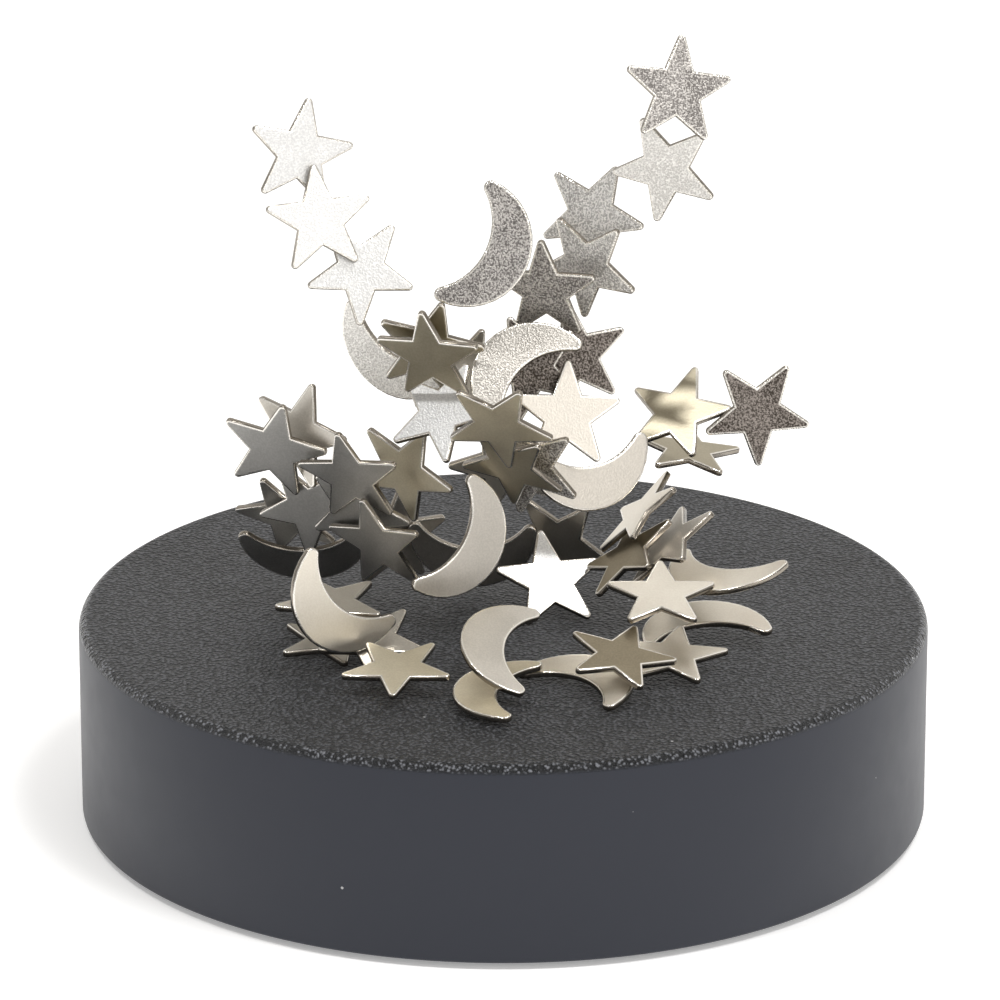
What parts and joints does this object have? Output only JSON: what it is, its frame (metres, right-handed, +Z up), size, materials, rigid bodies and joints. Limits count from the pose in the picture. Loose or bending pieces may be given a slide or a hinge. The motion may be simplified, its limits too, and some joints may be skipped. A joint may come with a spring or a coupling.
{
  "type": "magnetic desk sculpture",
  "caption": "Round black magnetic base holding a loose, rearrangeable pile of small flat nickel-plated steel stars and crescents.",
  "frame": {"origin": "centre of the underside of the foam pad, on the surface that the base stands on", "axes": "+Z up, -Y towards the viewer who faces the sculpture, +X to that viewer's right"},
  "size_m": [0.0826, 0.0826, 0.0771],
  "materials": {
    "black_plastic": "moulded black plastic: fine leather-like spark-eroded grain on the top, satin side",
    "ferrite": "ground dark grey ferrite",
    "foam": "black closed-cell foam",
    "nickel_plated_steel": "satin sand-blasted nickel plating with rolled, brighter edges"
  },
  "bodies": {
    "base": {"base_shell": "black_plastic", "magnet_disc": "ferrite", "bottom_cover": "black_plastic", "foam_pad": "foam", "star_neck_right": "nickel_plated_steel", "star_right_tower_foot": "nickel_plated_steel", "star_neck_middle": "nickel_plated_steel", "crescent_right_arm_inner": "nickel_plated_steel", "star_right_arm_lower": "nickel_plated_steel", "crescent_left_tower_foot": "nickel_plated_steel", "star_neck_lower_right": "nickel_plated_steel", "star_neck_left_back": "nickel_plated_steel", "star_chest_right": "nickel_plated_steel", "crescent_saddle_lower": "nickel_plated_steel", "star_chest_left": "nickel_plated_steel", "star_chest_front": "nickel_plated_steel", "star_left_arm_back": "nickel_plated_steel", "crescent_left_arm_low": "nickel_plated_steel", "star_left_arm_lower": "nickel_plated_steel", "star_left_arm_back_upper": "nickel_plated_steel", "star_chest_low_left": "nickel_plated_steel", "star_left_arm_inner": "nickel_plated_steel", "star_left_arm_upper": "nickel_plated_steel", "star_waist_front": "nickel_plated_steel", "star_right_hip_inner": "nickel_plated_steel", "star_right_hip_upper": "nickel_plated_steel", "star_right_hip_outer": "nickel_plated_steel", "crescent_chest": "nickel_plated_steel", "star_left_foot_inner": "nickel_plated_steel", "star_left_foot_upper": "nickel_plated_steel", "crescent_front_right": "nickel_plated_steel", "crescent_front_lower": "nickel_plated_steel", "star_right_foot_upper": "nickel_plated_steel", "crescent_back_foot": "nickel_plated_steel"},
    "left_tower_third": {"star_left_tower_third": "nickel_plated_steel"},
    "left_tower_second": {"star_left_tower_second": "nickel_plated_steel"},
    "left_tower_top": {"star_left_tower_top": "nickel_plated_steel"},
    "right_tower_fourth": {"star_right_tower_fourth": "nickel_plated_steel"},
    "right_tower_third": {"star_right_tower_third": "nickel_plated_steel"},
    "right_tower_second": {"star_right_tower_second": "nickel_plated_steel"},
    "right_tower_top": {"star_right_tower_top": "nickel_plated_steel"},
    "saddle_crescent": {"crescent_saddle_upper": "nickel_plated_steel"},
    "right_arm_upper": {"star_right_arm_upper": "nickel_plated_steel"},
    "right_arm_tip": {"star_right_arm_tip": "nickel_plated_steel"},
    "left_arm_tip": {"star_left_arm_tip": "nickel_plated_steel"},
    "left_arm_under": {"star_left_arm_under": "nickel_plated_steel"},
    "front_right_upper": {"star_front_right_upper": "nickel_plated_steel"},
    "left_foot_flat": {"star_left_foot_flat": "nickel_plated_steel"},
    "left_foot_front": {"star_left_foot_front": "nickel_plated_steel"},
    "front_upper": {"crescent_front_upper": "nickel_plated_steel"},
    "right_foot_front": {"star_right_foot_front": "nickel_plated_steel"},
    "right_foot_lower": {"crescent_right_foot_lower": "nickel_plated_steel"},
    "right_foot_upper": {"crescent_right_foot_upper": "nickel_plated_steel"},
    "left_hip": {"crescent_left_hip": "nickel_plated_steel"},
    "neck_front": {"star_neck_front": "nickel_plated_steel"},
    "neck_left": {"star_neck_left": "nickel_plated_steel"},
    "back_foot_left": {"star_back_foot_left": "nickel_plated_steel"},
    "back_foot_right": {"star_back_foot_right": "nickel_plated_steel"},
    "back_middle": {"star_back_middle": "nickel_plated_steel"},
    "back_neck": {"star_back_neck": "nickel_plated_steel"}
  },
  "joints": [
    {"name": "left_tower_third_swing", "type": "hinge", "parent": "base", "child": "left_tower_third", "pos_m": [-0.0142, 0.0032, 0.0494], "axis": [0.1631, -0.9254, 0.3421], "range_deg": [-30, 45]},
    {"name": "left_tower_second_swing", "type": "hinge", "parent": "left_tower_third", "child": "left_tower_second", "pos_m": [-0.0154, 0.0042, 0.0562], "axis": [0.2429, -0.9078, 0.3419], "range_deg": [-30, 50]},
    {"name": "left_tower_top_swing", "type": "hinge", "parent": "left_tower_second", "child": "left_tower_top", "pos_m": [-0.018, 0.0058, 0.0617], "axis": [0.3299, -0.9078, 0.2589], "range_deg": [-60, 45]},
    {"name": "right_tower_fourth_swing", "type": "hinge", "parent": "base", "child": "right_tower_fourth", "pos_m": [0.0072, 0.0038, 0.049], "axis": [-0.421, -0.9029, -0.087], "range_deg": [-30, 30]},
    {"name": "right_tower_third_swing", "type": "hinge", "parent": "right_tower_fourth", "child": "right_tower_third", "pos_m": [0.0076, 0.0048, 0.0554], "axis": [-0.3371, -0.9252, 0.174], "range_deg": [-40, 30]},
    {"name": "right_tower_second_swing", "type": "hinge", "parent": "right_tower_third", "child": "right_tower_second", "pos_m": [0.0108, 0.0053, 0.0631], "axis": [-0.3419, -0.9397, 0], "range_deg": [-10, 60]},
    {"name": "right_tower_top_swing", "type": "hinge", "parent": "right_tower_second", "child": "right_tower_top", "pos_m": [0.0187, 0.0014, 0.0675], "axis": [0.2429, -0.9078, 0.3419], "range_deg": [-90, 90]},
    {"name": "saddle_crescent_swing", "type": "hinge", "parent": "base", "child": "saddle_crescent", "pos_m": [-0.0058, -0.0032, 0.0527], "axis": [0, -0.9659, 0.259], "range_deg": [-40, 60]},
    {"name": "right_arm_upper_swing", "type": "hinge", "parent": "base", "child": "right_arm_upper", "pos_m": [0.0162, 0.0052, 0.0352], "axis": [-0.22, -0.604, 0.766], "range_deg": [-15, 45]},
    {"name": "right_arm_tip_swing", "type": "hinge", "parent": "right_arm_upper", "child": "right_arm_tip", "pos_m": [0.0213, 0.0059, 0.0384], "axis": [0.173, -0.9811, 0.087], "range_deg": [-25, 60]},
    {"name": "left_arm_tip_swing", "type": "hinge", "parent": "base", "child": "left_arm_tip", "pos_m": [-0.0201, -0.0018, 0.0369], "axis": [-0.25, -0.933, -0.259], "range_deg": [-30, 10]},
    {"name": "left_arm_under_swing", "type": "hinge", "parent": "base", "child": "left_arm_under", "pos_m": [-0.014, -0.0039, 0.0298], "axis": [-0.4699, -0.8138, -0.3419], "range_deg": [-60, 30]},
    {"name": "front_right_upper_swing", "type": "hinge", "parent": "base", "child": "front_right_upper", "pos_m": [0.0141, -0.0205, 0.0224], "axis": [0.129, -0.224, 0.966], "range_deg": [-90, 90]},
    {"name": "left_foot_flat_drag", "type": "slide", "parent": "base", "child": "left_foot_flat", "axis": [-0.8299, -0.5579, 0], "range_m": [0, 0.015]},
    {"name": "left_foot_front_drag", "type": "slide", "parent": "base", "child": "left_foot_front", "axis": [-0.4141, -0.9102, 0], "range_m": [0, 0.012]},
    {"name": "front_upper_lift", "type": "slide", "parent": "base", "child": "front_upper", "axis": [0.2421, -0.3462, 0.9064], "range_m": [0, 0.02]},
    {"name": "right_foot_front_drag", "type": "slide", "parent": "base", "child": "right_foot_front", "axis": [0.6749, -0.7379, 0], "range_m": [0, 0.012]},
    {"name": "right_foot_lower_drag", "type": "slide", "parent": "base", "child": "right_foot_lower", "axis": [1, 0, 0], "range_m": [0, 0.012]},
    {"name": "right_foot_upper_pull", "type": "slide", "parent": "base", "child": "right_foot_upper", "axis": [0.9648, -0.2629, 0], "range_m": [0, 0.015]},
    {"name": "left_hip_pull", "type": "slide", "parent": "base", "child": "left_hip", "axis": [-0.6601, -0.7511, 0], "range_m": [0, 0.015]},
    {"name": "neck_front_pull", "type": "slide", "parent": "base", "child": "neck_front", "axis": [-0.235, -0.8751, -0.423], "range_m": [0, 0.015]},
    {"name": "neck_left_pull", "type": "slide", "parent": "base", "child": "neck_left", "axis": [-0.321, -0.8831, -0.3421], "range_m": [0, 0.015]},
    {"name": "back_foot_left_pull", "type": "slide", "parent": "base", "child": "back_foot_left", "axis": [-0.4158, 0.8927, 0.1739], "range_m": [0, 0.015]},
    {"name": "back_foot_right_pull", "type": "slide", "parent": "base", "child": "back_foot_right", "axis": [0.3299, 0.9078, 0.2589], "range_m": [0, 0.015]},
    {"name": "back_middle_pull", "type": "slide", "parent": "base", "child": "back_middle", "axis": [0.086, 0.981, 0.174], "range_m": [0, 0.015]},
    {"name": "back_neck_pull", "type": "slide", "parent": "base", "child": "back_neck", "axis": [-0.087, 0.9924, 0.087], "range_m": [0, 0.015]}
  ]
}
